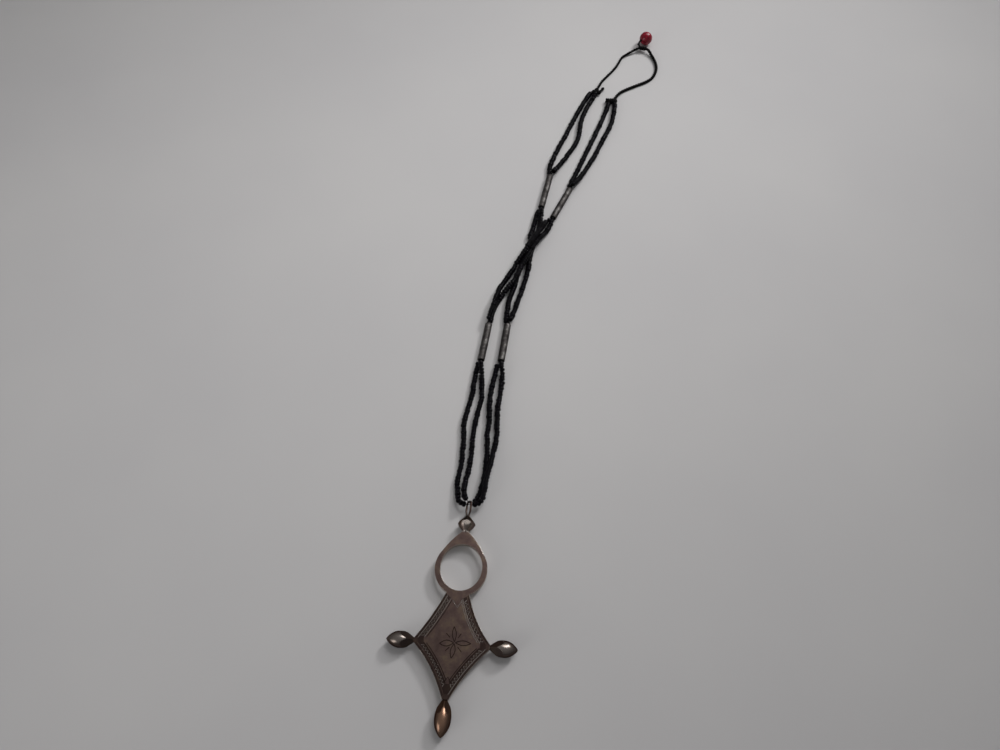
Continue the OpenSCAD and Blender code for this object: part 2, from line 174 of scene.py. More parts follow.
def drawn(name, spots, thick, sides=2):
    """A round line of one thickness through spots, as a mesh with closed ends."""
    data = bpy.data.curves.new(name, "CURVE")
    data.dimensions = "3D"
    data.bevel_depth = thick / 2
    data.bevel_resolution = sides
    data.use_fill_caps = True
    spline = data.splines.new("POLY")
    spline.points.add(len(spots) - 1)
    for point, spot in zip(spline.points, spots):
        point.co = (*spot, 1)
    piece = bpy.data.objects.new(name, data)
    bpy.context.scene.collection.objects.link(piece)
    pick_up(piece)
    bpy.ops.object.convert(target="MESH")
    bpy.ops.object.shade_smooth()
    return bpy.context.object


def twisted(name, line, across, lay):
    """A cord of three plies laid round each other, one turn in each length lay."""
    plies = 3
    ply = across / 2.155  # three round plies side by side are 1 + 2 / sqrt(3) of one across
    count = round(run_of(line) / (lay / 22))
    walked = stations(line, count)
    laid = []
    for n in range(plies):
        spots = []
        for k, (spot, ahead) in enumerate(walked):
            side = ahead.cross(Vector((0, 0, 1))).normalized()
            turn = math.tau * (k * run_of(line) / count / lay + n / plies)
            spots.append(spot + (side * math.cos(turn) + side.cross(ahead) * math.sin(turn))
                         * ply / math.sqrt(3))
        laid.append(drawn(name, spots, ply, 1))
    return solder(name, laid)


# The two cords, from their knots to the closing knot: each row is x, y, lift above the table

# The twist is drawn a fifth fuller than the cord, because its plies leave hollows between them
CORD_FULLNESS, CORD_LAY = 1.22, 4.6
LEFT_CORD = [
    (17.4, 138.2, 0.7), (18.6, 141.8, 0.3), (20, 145.7, 0), (22.3, 149.6, 0), (25, 154, 0),
    (27.4, 158.5, 0), (29, 162.8, 0), (30.4, 166.4, 0.1), (32.6, 168.7, 0.3),
    (35.3, 170.8, 0.8), (37.2, 172.1, 1.2), (38.6, 173, 1.4),
]
RIGHT_CORD = [
    (27.3, 131.6, 0.8), (28.2, 134.2, 0.4), (29.8, 137, 0.1), (32.2, 139.3, 0),
    (35.4, 141.6, 0), (39.5, 144.4, 0), (43.4, 147, 0), (46.5, 150, 0), (48.3, 153.5, 0),
    (49.2, 157, 0), (49.4, 160.5, 0), (48.9, 164, 0), (47.8, 167.2, 0.1), (46.5, 169.9, 0.4),
    (45.6, 171.6, 0.9), (44.7, 172.7, 1.3),
]

cords = {}
for name, rows, across in (("cord_left", LEFT_CORD, 1.2), ("cord_right", RIGHT_CORD, 1.4)):
    line = laid_line(rows, 8, across / 2)
    piece = twisted(name + "_twisted", line, across * CORD_FULLNESS * MM, CORD_LAY * MM)
    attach(piece, "root")
    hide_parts(name)
    cords[name] = piece


# Strands: each row is x, y, lift above the table and 1 where beads follow, 0 for bare thread

LEFT_OUTER = [
    (-23.7, -103.2, 1.8, 0), (-24.9, -103.2, 1.7, 1), (-26, -103, 1.5, 1),
    (-27.2, -102.4, 1.3, 1), (-28.2, -101, 1, 1), (-28.9, -97.5, 0.4, 1), (-29.4, -94, 0, 1),
    (-29.1, -89.5, 0, 1), (-28.8, -85, 0, 1), (-29, -80, 0, 1), (-29.3, -74, 0, 1),
    (-29.8, -68, 0, 1), (-29, -61, 0, 1), (-28.1, -55, 0, 1), (-28, -48, 0, 1),
    (-27.6, -43, 0, 1), (-27.1, -39.3, 0, 0), (-26.8, -38, 0.3, 0), (-25.4, -19.6, 0.5, 0),
    (-25.1, -18, 2.4, 1), (-24.2, -13.5, 2.5, 1), (-23.5, -9, 2.5, 1), (-22.8, -5, 2.2, 1),
    (-22, 0, 0.7, 1), (-19.7, 5.5, 0, 1), (-17, 11, 0.7, 1), (-14.6, 16, 2.6, 1),
    (-12.2, 20.5, 4, 1), (-9.9, 25.5, 4.7, 1), (-8, 30, 4, 1), (-6, 35, 2.3, 1),
    (-4.2, 40, 1.4, 1), (-3.7, 41.2, 1.2, 0), (-1.1, 44.4, 0.4, 0), (5.9, 63.6, 0.4, 0),
    (6.2, 65.2, 0, 1), (7.4, 70, 0, 1), (9.9, 77.5, 0, 1), (13, 88, 0, 1), (16.5, 99.5, 0, 1),
    (19.7, 110.5, 0, 1), (22.6, 121, 0, 1), (23.5, 125.6, 0.1, 1), (23.7, 127.2, 0.2, 0),
]
LEFT_INNER = [
    (-23.7, -102.5, 1.9, 0), (-24.1, -102.4, 2.9, 0), (-24.7, -102.1, 4, 1),
    (-25.4, -101.3, 3.8, 1), (-25.9, -99.6, 3.1, 1), (-26.2, -96.5, 1.9, 1),
    (-26.2, -93.5, 0.8, 1), (-25.7, -90, 0.1, 1), (-25.4, -85, 0, 1), (-25.4, -80, 0, 1),
    (-25.5, -73.5, 0, 1), (-25.3, -67.5, 0, 1), (-24.6, -61, 0, 1), (-24.1, -55, 0, 1),
    (-24.8, -48, 0.2, 1), (-25.4, -44, 1.3, 1), (-26, -41.2, 2.2, 0), (-26.1, -39.4, 1.3, 0),
    (-25.9, -38, 0.6, 0), (-24.5, -19.6, 0.4, 0), (-24.3, -18.4, 0, 1), (-24, -13.5, 0, 1),
    (-22.7, -8.5, 0, 1), (-20.6, -3.8, 0.2, 1), (-18.2, 0.3, 1.8, 1), (-15.7, 4, 2.5, 1),
    (-14.3, 8.5, 2.5, 1), (-12.8, 13.5, 2.5, 1), (-10.6, 19, 2.5, 1), (-8.4, 25.5, 2.5, 1),
    (-5.9, 30.2, 1.9, 1), (-3.6, 35, 0.4, 1), (-1.7, 40, 0, 1), (-1.4, 41.2, 0, 0),
    (-0.3, 44.2, 0.4, 0), (6.7, 63.2, 0.5, 0), (7.6, 65.1, 2.1, 1), (9, 67.7, 1.5, 1),
    (11, 71.7, 0.3, 1), (14, 78.5, 0, 1), (18, 88.5, 0, 1), (21.7, 100, 0, 1),
    (25.2, 110.5, 0, 1), (26.8, 120, 0, 1), (27.1, 125.5, 0.1, 1), (27, 127.2, 0.2, 0),
]
RIGHT_INNER = [
    (-23.5, -102.6, 1.85, 0), (-23, -102.4, 1.4, 0), (-22.1, -101.5, 0.1, 1),
    (-21.4, -100.6, 0, 1), (-20.8, -99.6, 0.1, 1), (-20.2, -97.3, 0.1, 1), (-19.6, -94, 0, 1),
    (-19.1, -90, 0, 1), (-19, -85, 0, 1), (-19.2, -79.5, 0, 1), (-19.9, -73, 0, 1),
    (-19.8, -66.5, 0, 1), (-20.4, -60, 0, 1), (-20.5, -54, 0, 1), (-20, -47.5, 0, 1),
    (-19.4, -43, 0, 1), (-18.9, -39.6, 0, 0), (-18.1, -37.5, 0.3, 0), (-17.1, -19, 0.4, 0),
    (-17.4, -17.8, 0, 1), (-17.6, -13, 0, 1), (-17.2, -6.5, 0, 1), (-16, 0, 0, 1),
    (-14.9, 6, 0, 1), (-14.1, 12, 0, 1), (-13, 18, 0, 1), (-12.5, 22.5, 0, 0),
    (-12.2, 25, -0.5, 0), (-11.5, 28.5, -0.5, 0), (-11, 30.5, 0, 1), (-10.1, 35, 0, 1),
    (-9.3, 41, 0, 1), (-8.3, 46.5, 0, 1), (-7.8, 48.6, 0, 0), (-7.2, 50.4, 0.3, 0),
    (-4.4, 71.2, 0.4, 0), (-4.2, 72.8, 0, 1), (-4.1, 79, 0, 1), (-1.2, 90, 0, 1),
    (2.5, 101.5, 0, 1), (6, 113, 0, 1), (9.8, 124.5, 0, 1), (12.8, 132, 0, 1),
    (13.6, 133.9, 0.1, 1), (14.2, 135, 0.2, 0),
]
RIGHT_OUTER = [
    (-23.5, -103.2, 1.8, 0), (-22.1, -103.2, 1.8, 1), (-21, -103, 2.1, 1),
    (-19.6, -102.1, 2.4, 1), (-18.7, -100.4, 2.5, 1), (-18.4, -97.5, 2.5, 1),
    (-18.1, -94, 2.5, 1), (-17.9, -90.5, 2.4, 1), (-17.1, -85, 1.8, 1), (-16.6, -79.5, 0.3, 1),
    (-16.1, -73, 0, 1), (-16.5, -66.5, 0, 1), (-16.9, -60, 0, 1), (-16.5, -54, 0, 1),
    (-16.4, -48, 0, 1), (-16.7, -43.5, 0.8, 1), (-17.4, -40.6, 2, 0), (-17.3, -38.8, 1, 0),
    (-17.2, -37.5, 0.6, 0), (-16.3, -19.1, 0.4, 0), (-15.7, -17.6, 1.9, 1),
    (-14.8, -13, 0.4, 1), (-13.4, -6.5, 0, 1), (-12, 0, 0, 1), (-10.8, 7, 0, 1),
    (-10.1, 13, 0, 1), (-9.8, 19, 0, 1), (-9, 25.5, 0, 1), (-7.8, 32, 0, 1), (-6.8, 38, 0, 1),
    (-6.4, 43, 0.6, 1), (-6.5, 46.5, 1.9, 0), (-6.4, 48.6, 1, 0), (-6.3, 50.4, 0.5, 0),
    (-3.5, 71.1, 0.4, 0), (-2.5, 73, 1.8, 1), (-1, 76.5, 0.7, 1), (1.2, 81, 0, 1),
    (5, 89, 0, 1), (8.3, 97, 0, 1), (9.4, 104, 0, 1), (9.8, 111, 0, 1), (12, 121.5, 0, 1),
    (15, 129.5, 0, 1), (16.2, 132.3, 0.1, 1), (16.7, 134.1, 0.2, 0),
]

BEAD, BEAD_PITCH, BEAD_THREAD = 2.2, 1.42, 0.4
LINE_STEPS = 6  # spots that a line has for each of its rows
# How unevenly the beads sit: lean, slip across the thread in millimetres, girth and length
LEAN, SLIP, GIRTH, LENGTH = 0.19, 0.14, (0.94, 1.15), (0.98, 1.07)

# One seed bead: a ring drawn out along its hole, with blunt ends
RING, RING_WALL, DRAWN_OUT = 0.72, 0.39, 1.7
bpy.ops.mesh.primitive_torus_add(major_segments=12, minor_segments=8,
                                 major_radius=RING * MM, minor_radius=RING_WALL * MM)
seed_bead = label(bpy.context.object, "seed_bead")
pick_up(seed_bead)
bpy.ops.object.mode_set(mode="EDIT")
bpy.ops.mesh.select_all(action="SELECT")
bpy.ops.transform.resize(value=(1, 1, DRAWN_OUT))
bpy.ops.object.mode_set(mode="OBJECT")
bpy.ops.object.shade_smooth()


def stouter(y):
    """How much stouter the beads are towards the closing end, as the photograph shows them."""
    return 0.13 * min(max((y + 0.09) / 0.1, 0), 1)


# The beads that crowd at the tubes' mouths, by strand: spot, and how far the bead leans across
MOUTH_BEADS = {
    "left_outer": [(-26.33, -38.75, 1.45, 0.05), (-24.87, -18.95, 1.45, 0.05),
                   (-0.95, 43.65, 1.5, 0.36), (6.52, 63.95, 1.5, 0.36), (-2.5, 42.3, 2.0, 0.8)],
    "left_inner": [(-26.0, -40.5, 3.2, 0.0), (-1.3, 42.3, 1.3, 0.3)],
    "right_inner": [],
    "right_outer": [(-17.75, -38.25, 1.45, 0.05), (-16.67, -18.45, 1.45, 0.05),
                    (-6.8, 49.75, 1.45, 0.14), (-3.8, 71.85, 1.45, 0.14),
                    (-17.35, -39.8, 2.8, -0.1), (-6.4, 47.7, 2.6, 0.0)],
}

strands = []
for name, rows in (("left_outer", LEFT_OUTER), ("left_inner", LEFT_INNER),
                   ("right_inner", RIGHT_INNER), ("right_outer", RIGHT_OUTER)):
    line = laid_line(rows, LINE_STEPS, BEAD / 2)
    parts, start = [drawn("thread", line, BEAD_THREAD * MM, 1)], None
    for i, (*_, beads_follow) in enumerate(rows):
        if beads_follow and start is None:
            start = i
        if not beads_follow and start is not None:
            beaded = line[start * LINE_STEPS:i * LINE_STEPS + 1]
            for spot, ahead in stations(beaded, round(run_of(beaded) / (BEAD_PITCH * MM))):
                bead = twin(seed_bead)
                tip = Vector([luck.gauss(0, LEAN) for _ in "xyz"])
                bead.rotation_mode = "QUATERNION"
                bead.rotation_quaternion = (ahead + tip).normalized().to_track_quat("Z", "Y")
                girth = luck.uniform(*GIRTH) + stouter(spot.y)
                bead.scale = (girth, girth, luck.uniform(*LENGTH))
                slip = Vector([luck.uniform(-SLIP, SLIP) * MM for _ in "xyz"])
                bead.location = spot + slip - ahead * slip.dot(ahead)
                # A stouter bead still lies on what is under it
                bead.location.z += (girth - 1) * BEAD / 2 * MM
                parts.append(bead)
            start = None
    for x, y, z, across in MOUTH_BEADS[name]:
        bead = twin(seed_bead)
        bead.rotation_mode = "QUATERNION"
        bead.rotation_quaternion = Vector((across, 1, 0)).to_track_quat("Z", "Y")
        bead.location = Vector((x, y, z)) * MM
        parts.append(bead)
    piece = seat(solder("beads_" + name, parts))
    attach(piece, "root")
    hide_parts("strand_" + name)
    strands.append(piece)
bpy.data.objects.remove(seed_bead)


# Silver tubes: rolled sheet, open at both ends, a little dented

TUBE_RADIUS, TUBE_LIFT, TUBE_WALL, TUBE_DENT = 1.56, 1.57, 0.32, 0.14
# The middle of each tube's two ends, x and y of the one and of the other
TUBE_ENDS = {
    "lower_left": (-26.3, -38.1, -24.9, -19.6),
    "lower_right": (-17.7, -37.6, -16.7, -19.1),
    "upper_left": (-6.7, 50.4, -3.9, 71.2),
    "upper_right": (-0.7, 44.3, 6.3, 63.3),
}
dents = bpy.data.textures.new("dents", "CLOUDS")
dents.noise_scale = 0.004
tubes = []
for name, (x0, y0, x1, y1) in TUBE_ENDS.items():
    bpy.ops.mesh.primitive_cylinder_add(
        vertices=32, radius=TUBE_RADIUS * MM, depth=math.hypot(x1 - x0, y1 - y0) * MM,
        end_fill_type="NOTHING",
        location=((x0 + x1) / 2 * MM, (y0 + y1) / 2 * MM, TUBE_LIFT * MM),
        rotation=(math.pi / 2, 0, math.atan2(y1 - y0, x1 - x0) - math.pi / 2))
    piece = label(bpy.context.object, "silver_tube_" + name)
    # The edges that run along the tube are cut, so that the dents can bend its wall
    points = piece.data.vertices
    select_edges(piece, lambda edge: abs(points[edge.vertices[0]].co.z
                                         - points[edge.vertices[1]].co.z) > 5 * MM)
    bpy.ops.mesh.subdivide(number_cuts=24)
    bpy.ops.object.mode_set(mode="OBJECT")
    seat(piece)
    finish_with(piece, "DISPLACE", texture=dents, texture_coords="GLOBAL",
                strength=TUBE_DENT * MM, mid_level=0.62)
    finish_with(piece, "SOLIDIFY", thickness=TUBE_WALL * MM, offset=-1)
    finish_with(piece, "BEVEL", width=0.09 * MM, segments=2, limit_method="ANGLE",
                angle_limit=math.radians(50))
    pick_up(piece)
    bpy.ops.object.shade_smooth_by_angle(angle=math.radians(40))
    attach(piece, "root")
    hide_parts("tube_" + name)
    tubes.append(piece)


# Cross: the cast solid, its edges worn round

# The plate's middle on the table, its upper face, and where the ring, the side drops, the
# bottom drop, the knob and the bail begin, counted from that middle
PLATE_AT, PLATE_TOP = (-23.6, -154.2), 3.8
RING_FROM, SIDE_DROPS_FROM, BOTTOM_DROP_FROM, KNOB_FROM, BAIL_FROM = 17, 13.4, -18.2, 40.6, 47.3
# How far in from the plate's edge the outer line, the zigzag and the inner line of its border
# are cut, and where that border's cuts have their floor
LINES_FROM, ZIGZAG_FROM, ZIGZAG_TO, LINES_TO, CUT_FLOOR = 0.6, 1.3, 2.35, 2.85, 3.5
BAIL_STOUTER, RIM_ROUNDING = 0.12, 0.32
# The plate's four edges as part.scad has them, in millimetres from its middle: side corner,
# far end, how far the edge curves in, and the side that the plate is on
EDGES = [((13.2, 0.8), (4.2, 17.2), 1.1, 1), ((-13.2, 0.8), (-4.2, 17.2), 0.5, -1),
         ((13.2, -0.8), (1.15, -18), 0.9, -1), ((-13.2, -0.8), (-1.15, -18), 1.2, 1)]


def inside_edge(x, y):
    """How far a spot lies in from the plate's edge beside it, and how far along it."""
    (x0, y0), (x1, y1), curve, side = EDGES[(0 if y > 0 else 2) + (0 if x > 0 else 1)]
    run = math.hypot(x1 - x0, y1 - y0)
    along = ((x - x0) * (x1 - x0) + (y - y0) * (y1 - y0)) / run ** 2
    inward = side * ((x1 - x0) * (y - y0) - (y1 - y0) * (x - x0)) / run
    return inward - 4 * curve * along * (1 - along), along


def on_plate(face):
    """Where a face's middle lies, in millimetres from the middle of the plate."""
    return face.center.x / MM - PLATE_AT[0], face.center.y / MM - PLATE_AT[1]


# A copy of the CAD node, without the marks that tie it to its body
cross = twin(nodes["cross"])
cross.parent = None
for key in [k for k in cross.keys() if k.startswith("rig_")]:
    del cross[key]
label(cross, "worn_cross")
weld(cross, 0.000002)
# The faces of the engraved border are marked first, so that they aren't merged with others
for face in cross.data.polygons:
    if face.normal.z > 0.9 and face.center.z > (PLATE_TOP - 0.1) * MM:
        x, y = on_plate(face)
        inward, along = inside_edge(x, y)
        face.material_index = y < RING_FROM and 0.02 < along < 0.97 and 0.2 < inward < 2.75
pick_up(cross)
bpy.ops.object.mode_set(mode="EDIT")
bpy.ops.mesh.select_all(action="SELECT")
bpy.ops.mesh.dissolve_limited(angle_limit=math.radians(1.5), delimit={"NORMAL", "MATERIAL"})
bpy.ops.object.mode_set(mode="OBJECT")
# The bail's wire is a little stouter than the CAD wire, as the photograph shows it
select_faces(cross, lambda face: on_plate(face)[1] > BAIL_FROM + 0.3)
bpy.ops.transform.shrink_fatten(value=BAIL_STOUTER * MM)
bpy.ops.object.mode_set(mode="OBJECT")
# Each edge between a flat side and a wall as tall as the plate is a rim, and is rounded
beside = {}
for face in cross.data.polygons:
    heights = [cross.data.vertices[v].co.z for v in face.vertices]
    flat, tall = abs(face.normal.z) > 0.99, max(heights) - min(heights) > 1.5 * MM
    for key in face.edge_keys:
        beside.setdefault(key, []).append((flat, tall and abs(face.normal.z) < 0.05))


def is_rim(edge):
    """Whether an edge has a flat side and a wall beside it."""
    sides = beside.get(edge.key, [])
    return any(flat for flat, wall in sides) and any(wall for flat, wall in sides)


select_edges(cross, is_rim)
bpy.ops.mesh.bevel(offset=RIM_ROUNDING * MM, offset_type="OFFSET", segments=3,
                   clamp_overlap=True)
bpy.ops.object.mode_set(mode="OBJECT")
finish_with(cross, "BEVEL", width=0.05 * MM, segments=2, limit_method="ANGLE",
            angle_limit=math.radians(34), use_clamp_overlap=True)
pick_up(cross)
bpy.ops.object.shade_smooth_by_angle(angle=math.radians(38))
finish_with(cross, "WEIGHTED_NORMAL", weight=80, keep_sharp=True)

# Wear runs from 0 on the dull plate to 1 on a bright rim; on the drops and the knob it also
# holds a painted highlight on their tops. Oxide is 1 at its blackest, in a cut; on the drops'
# and knob's sides it also holds painted shade. Bronze tints the bottom drop's painted highlight.
# All three are kept at the faces' corners
wear, oxide, bronze = [], [], []


def top_highlight(up):
    """How much painted highlight the upper side of a round part gets, by how much it looks up.
    """
    return min(max((up - 0.65) / 0.35, 0), 1)


for face in cross.data.polygons:
    x, y = on_plate(face)
    inward = inside_edge(x, y)[0]
    bottom, knob, bail = y < BOTTOM_DROP_FROM, y > KNOB_FROM, y > BAIL_FROM
    round_part = abs(x) > SIDE_DROPS_FROM or bottom or knob
    near_drop = abs(x) > SIDE_DROPS_FROM - 1.5 or y < BOTTOM_DROP_FROM + 1.8
    cut = (CUT_FLOOR < face.center.z / MM < PLATE_TOP - 0.01 and y <= RING_FROM
           and not round_part and inward > LINES_FROM)
    line = LINES_FROM < inward < ZIGZAG_FROM or ZIGZAG_TO < inward < LINES_TO
    zigzag = ZIGZAG_FROM <= inward <= ZIGZAG_TO
    for loop in face.loop_indices:
        top = top_highlight(cross.data.corner_normals[loop].vector.z)
        if bail:
            bright_here, black = 0.0, 0.3
        # Drops and knob: an even wear of 0.12, with a painted highlight where a face looks up
        # and painted shade where it turns aside
        elif round_part:
            bright_here = 0.12 + (0.45 if bottom or knob else 0.32) * top
            black = (0.25 if knob else 0.62) * (1 - top)
        elif cut:
            bright_here, black = ((0.42, 0.1) if line else (0.55, 0.1) if zigzag
                                else (0.01, 0.9))
        elif face.normal.z < 0.97:
            bright_here, black = 1.0, 0.0
        else:
            bright_here, black = 0.01, (0.7 if face.material_index else 0.5 if near_drop else 0.0)
        wear.append(bright_here)
        oxide.append(black)
        bronze.append(0.75 if bottom else 0.0)
    face.material_index = 0
for name, amounts in (("wear", wear), ("oxide", oxide), ("bronze", bronze)):
    cross.data.attributes.new(name, "FLOAT", "CORNER").data.foreach_set("value", amounts)
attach(cross, "root")
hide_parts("cross")


# Knots, tied of the same black cord

TURN_STEPS, PRETZEL_STEPS = 14, 60  # spots in a turn of wound cord, and in a pretzel


def loops(spots):
    """Spots in millimetres as a smooth open line."""
    return laid_line(spots, LINE_STEPS, 0)


def wound(at, lean, radius, pitch, turns):
    """Turns of cord wound side by side round an axis that leans by so many degrees."""
    steps = int(turns * TURN_STEPS)
    c, s = math.cos(math.radians(lean)), math.sin(math.radians(lean))
    out = []
    for k in range(steps + 1):
        turn = math.tau * k / TURN_STEPS
        along = (k / steps - 0.5) * turns * pitch
        flat = radius * math.cos(turn)
        out.append(Vector((at[0] + along * c - flat * s, at[1] + along * s + flat * c,
                           at[2] + radius * math.sin(turn))) * MM)
    return out


def overhand(at, size, flat, turn):
    """A pretzel of cord that crosses itself three times."""
    c, s = math.cos(math.radians(turn)), math.sin(math.radians(turn))
    out = []
    for k in range(PRETZEL_STEPS + 1):
        t = math.tau * k / PRETZEL_STEPS
        x, y = math.sin(t) + 2 * math.sin(2 * t), math.cos(t) - 2 * math.cos(2 * t)
        out.append(Vector((at[0] + size * (x * c - y * s), at[1] + size * (x * s + y * c),
                           at[2] - flat * math.sin(3 * t))) * MM)
    return out


knots = {
    "knot_left": [
        drawn("knot", overhand((16.9, 136.1, 1.45), 0.5, 0.55, 25), 1.35 * MM, 3),
        drawn("knot", overhand((18.3, 135.6, 1.25), 0.3, 0.35, 60), 1.05 * MM, 3),
        drawn("knot", loops([(17.4, 135.8, 1.4), (18.6, 136.4, 1.2), (19.4, 137.4, 1.0),
                             (20.1, 138.5, 0.9), (20.7, 139.3, 0.9)]), 1.05 * MM, 3),
        drawn("knot", overhand((20.5, 139.0, 1.05), 0.16, 0.2, 20), 0.95 * MM, 3),
        drawn("knot", loops([(17.0, 136.6, 1.4), (17.25, 137.4, 1.35), (17.45, 138.15, 1.3)]),
              1.5 * MM, 3),
        drawn("knot", loops([(13.9, 134.4, 1.3), (15.0, 135.2, 1.5), (16.4, 136.0, 1.7)]),
              1.5 * MM, 2),
        drawn("knot", loops([(16.5, 133.6, 1.3), (16.7, 134.6, 1.5), (16.9, 135.6, 1.6)]),
              1.5 * MM, 2),
    ],
    "knot_right": [
        drawn("knot", wound((25.3, 129.2, 1.5), 4, 0.88, 1.0, 3.6), 1.2 * MM, 3),
        drawn("knot", overhand((23.3, 129.4, 1.4), 0.34, 0.45, 80), 1.15 * MM, 3),
        drawn("knot", overhand((27.1, 129.25, 1.4), 0.32, 0.45, 10), 1.15 * MM, 3),
        drawn("knot", loops([(26.4, 129.6, 1.5), (26.9, 130.6, 1.5), (27.25, 131.5, 1.5)]),
              1.8 * MM, 3),
        drawn("knot", loops([(23.5, 126.6, 1.3), (23.8, 127.6, 1.4), (24.3, 128.6, 1.5)]),
              1.5 * MM, 2),
        drawn("knot", loops([(27.05, 126.6, 1.3), (26.95, 127.6, 1.4), (26.7, 128.6, 1.5)]),
              1.5 * MM, 2),
    ],
    "closing_knot": [
        drawn("knot", wound((41.6, 173.9, 1.9), -4, 0.68, 0.95, 3.1), 0.95 * MM, 3),
        drawn("knot", overhand((40.1, 174.1, 1.9), 0.27, 0.35, 60), 0.85 * MM, 3),
        drawn("knot", overhand((43.1, 173.8, 1.9), 0.27, 0.35, 15), 0.85 * MM, 3),
        drawn("knot", loops([(38.6, 173.0, 2.0), (39.6, 173.6, 1.95), (40.6, 173.9, 1.9)]),
              1.16 * MM, 3),
        drawn("knot", loops([(44.7, 172.7, 2.0), (43.9, 173.3, 1.95), (42.9, 173.7, 1.9)]),
              1.35 * MM, 3),
        drawn("knot", loops([(40.4, 174.2, 2), (39.7, 175.8, 2.3), (39.6, 177.2, 2.8),
                             (40, 178.2, 3.2), (40.84, 178.78, 3.35), (45.7, 182.2, 3.35)]),
              0.85 * MM, 3),
        drawn("knot", overhand((39.3, 176.6, 2.3), 0.12, 0.2, 40), 0.6 * MM, 3),
        drawn("knot", overhand((45.75, 182.25, 3.35), 0.08, 0.12, 10), 0.6 * MM, 3),
    ],
}
for name, parts in knots.items():
    piece = seat(solder("tied_" + name, parts))
    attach(piece, "root")
    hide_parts(name)
    knots[name] = piece


# Red bead: a glass ball, its hole drawn through and its mouths rounded

RED_RADIUS, RED_MOUTH = 3.5, 0.7
bpy.ops.mesh.primitive_uv_sphere_add(segments=48, ring_count=32, radius=RED_RADIUS * MM)
red_bead = label(bpy.context.object, "red_glass_bead")
select_faces(red_bead, lambda face: math.hypot(*face.center[:2]) < RED_MOUTH * MM)
bpy.ops.mesh.delete(type="FACE")
bpy.ops.mesh.select_mode(type="EDGE")
bpy.ops.mesh.select_all(action="SELECT")
bpy.ops.mesh.region_to_loop()
bpy.ops.mesh.bridge_edge_loops(number_cuts=3)
bpy.ops.object.mode_set(mode="OBJECT")
finish_with(red_bead, "BEVEL", width=0.25 * MM, segments=3, limit_method="ANGLE",
            angle_limit=math.radians(40))
red_bead.rotation_euler = (0, math.pi / 2, math.radians(35))
red_bead.location = (43.3 * MM, 180.5 * MM, RED_RADIUS * MM)
seat(red_bead)
weld(red_bead)
bpy.ops.object.shade_smooth_by_angle(angle=math.radians(50))
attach(red_bead, "root")
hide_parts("red_bead")


# Finishes

def colour(hex_value):
    """sRGB hex to the linear colour that a shader takes."""
    parts = [int(hex_value[i:i + 2], 16) / 255 for i in (1, 3, 5)]
    return (*[p / 12.92 if p <= 0.04045 else ((p + 0.055) / 1.055) ** 2.4 for p in parts], 1)


def finish(name):
    material = bpy.data.materials.new(name)
    material.use_nodes = True
    material.node_tree.nodes.clear()
    return material


def add(material, kind, settings=(), links=(), **values):
    """One node: its settings, a ramp's stops among them, its values and its links."""
    node = material.node_tree.nodes.new(kind)
    for key, value in dict(settings).items():
        if key == "stops":
            ramp = node.color_ramp.elements
            while len(ramp) < len(value):
                ramp.new(1)
            for stop, (place, shade) in zip(ramp, value):
                stop.position = place
                stop.color = colour(shade)
        else:
            setattr(node, key, value)
    for key, value in values.items():
        node.inputs[key.replace("_", " ")].default_value = value
    for socket, source in dict(links).items():
        material.node_tree.links.new(source, node.inputs[socket])
    return node


def dress(pieces, material):
    for piece in pieces:
        piece.data.materials.clear()
        piece.data.materials.append(material)


# Cast silver of the cross, cast in a mould, filed, engraved and worn on the skin: dark warm
# oxide stays in the border, in the cuts and on the flat by the drops, and rims and lines are
# rubbed brighter. The drops and the knob carry painted light: a painted highlight on their tops,
# bronze on the bottom drop, and painted shade on their sides
silver = finish("cast_silver_worn_dark")
place = add(silver, "ShaderNodeTexCoord").outputs["Object"]
# Cloudy tarnish about 4 mm across, from purple brown to bronze
cloud = add(silver, "ShaderNodeTexNoise", links={"Vector": place},
            Scale=260, Detail=4, Roughness=0.6)
tarnish = add(silver, "ShaderNodeValToRGB",
              {"stops": [(0.3, "#4c3d3a"), (0.5, "#5b4b46"), (0.72, "#6f6050")]},
              {"Fac": cloud.outputs["Fac"]})
# The three amounts that the cross keeps at its faces' corners, and the metal that they bare
wear_and_highlight_here = add(silver, "ShaderNodeAttribute", {"attribute_name": "wear"})
oxide_and_shade_here = add(silver, "ShaderNodeAttribute", {"attribute_name": "oxide"})
bronze_highlight_here = add(silver, "ShaderNodeAttribute", {"attribute_name": "bronze"})
# The bared silver, turned bronze where the bottom drop has its painted highlight
bare = add(silver, "ShaderNodeMix", {"data_type": "RGBA"},
           {"Factor": bronze_highlight_here.outputs["Fac"]})
bare.inputs[6].default_value = colour("#dcd3ca")
bare.inputs[7].default_value = colour("#e3a67a")
brightened = add(silver, "ShaderNodeMix", {"data_type": "RGBA"},
           {"Factor": wear_and_highlight_here.outputs["Fac"], 6: tarnish.outputs["Color"],
            7: bare.outputs[2]})
metal_colour = add(silver, "ShaderNodeMix", {"data_type": "RGBA"},
                   {"Factor": oxide_and_shade_here.outputs["Fac"], 6: brightened.outputs[2]})
metal_colour.inputs[7].default_value = colour("#231a17")
# Fine rubbing marks, drawn 0.25 mm apart so that they show; the rubbed parts shine more, and
# the dark oxide colour also paints shade on the drops' and knob's sides where they turn away
marks = add(silver, "ShaderNodeTexNoise", links={"Vector": place}, Scale=2600, Detail=3)
gloss = add(silver, "ShaderNodeMapRange", links={"Value": wear_and_highlight_here.outputs["Fac"]},
            From_Min=0, From_Max=0.14, To_Min=0.4, To_Max=0.26)
bump = add(silver, "ShaderNodeBump", links={"Height": marks.outputs["Fac"]},
           Strength=0.25, Distance=0.00004)
shader = add(silver, "ShaderNodeBsdfPrincipled",
             links={"Base Color": metal_colour.outputs[2], "Roughness": gloss.outputs["Result"],
                    "Normal": bump.outputs["Normal"]}, Metallic=1.0,
             Specular_Tint=(0.3, 0.26, 0.24, 1))
add(silver, "ShaderNodeOutputMaterial", links={"Surface": shader.outputs[0]})
dress([cross], silver)

